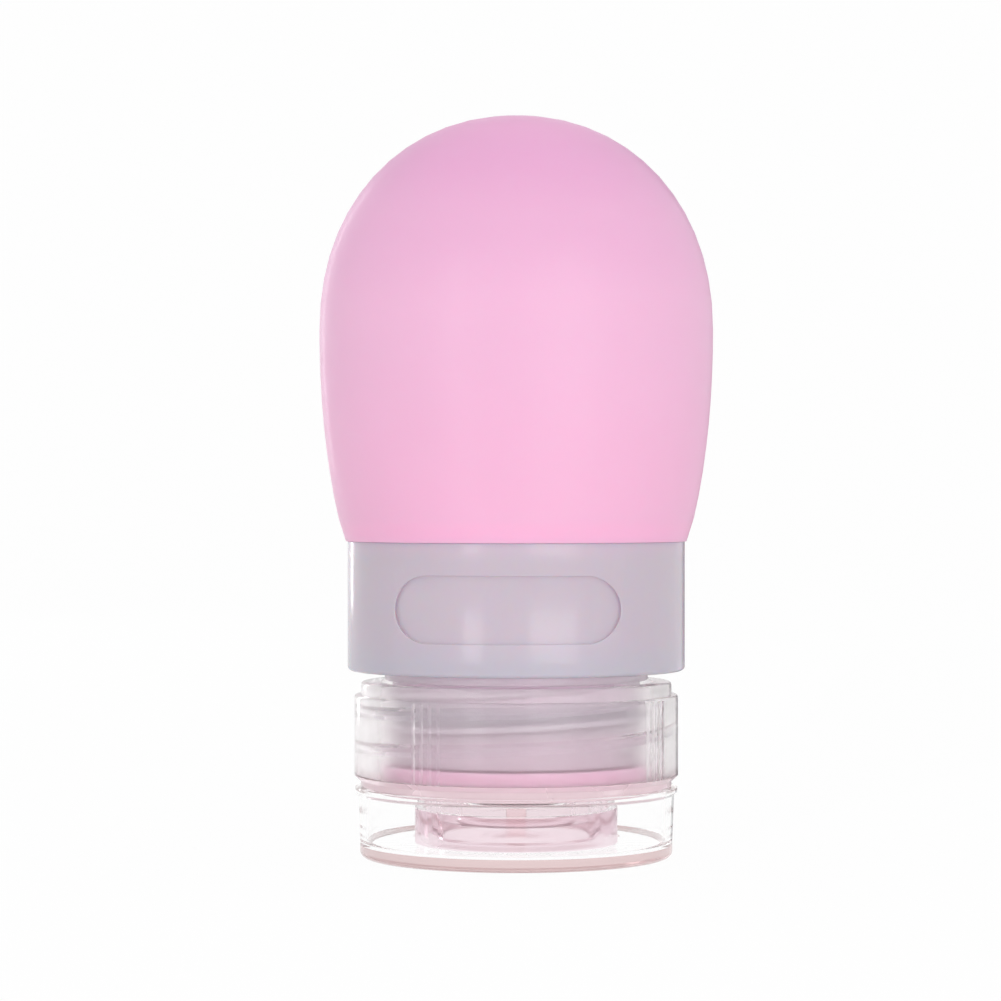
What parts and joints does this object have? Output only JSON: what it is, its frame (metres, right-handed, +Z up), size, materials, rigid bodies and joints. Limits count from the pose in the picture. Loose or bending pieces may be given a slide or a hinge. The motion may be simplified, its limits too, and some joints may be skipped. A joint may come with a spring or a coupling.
{
  "type": "travel squeeze bottle",
  "caption": "Small oval silicone squeeze bottle standing on a clear flip-top screw cap, with a rigid frosted collar and a turning window sleeve.",
  "frame": {"origin": "middle of the lid's flat bottom, which the bottle stands on", "axes": "+Z up along the bottle, -Y the front with the window, +Y the hinge side, X across the wide side of the oval body"},
  "size_m": [0.045, 0.0398, 0.0846],
  "materials": {
    "pink_silicone": "translucent moulded silicone, satin",
    "frosted_plastic": "frosted translucent polypropylene",
    "frosted_sleeve": "frosted translucent polypropylene",
    "clear_plastic": "clear polished plastic",
    "valve_silicone": "clear silicone, satin",
    "clear_ring": "clear polished plastic",
    "clear_lid": "clear polished plastic"
  },
  "bodies": {
    "bottle": {"bottle_body": "pink_silicone", "neck_collar": "frosted_plastic"},
    "sleeve": {"window_sleeve": "frosted_sleeve"},
    "cap_carrier": {"valve_retainer": "clear_ring"},
    "cap": {"cap_base": "clear_plastic", "slit_valve": "valve_silicone"},
    "lid": {"flip_lid": "clear_lid"}
  },
  "joints": [
    {"name": "window_turn", "type": "hinge", "parent": "bottle", "child": "sleeve", "pos_m": [0, 0, 0.029], "axis": [0, 0, 1], "continuous": true},
    {"name": "cap_lift", "type": "slide", "parent": "bottle", "child": "cap_carrier", "axis": [0, 0, -1], "range_m": [0, 0.012]},
    {"name": "cap_turn", "type": "hinge", "parent": "cap_carrier", "child": "cap", "pos_m": [0, 0, 0.0137], "axis": [0, 0, -1], "range_deg": [0, 1080]},
    {"name": "lid_hinge", "type": "hinge", "parent": "cap", "child": "lid", "pos_m": [0, 0.0192, 0.0074], "axis": [1, 0, 0], "range_deg": [0, 150]}
  ],
  "couplings": [
    {"joint": "cap_lift", "follows": "cap_turn", "m_per_rad": 0.00063662}
  ]
}
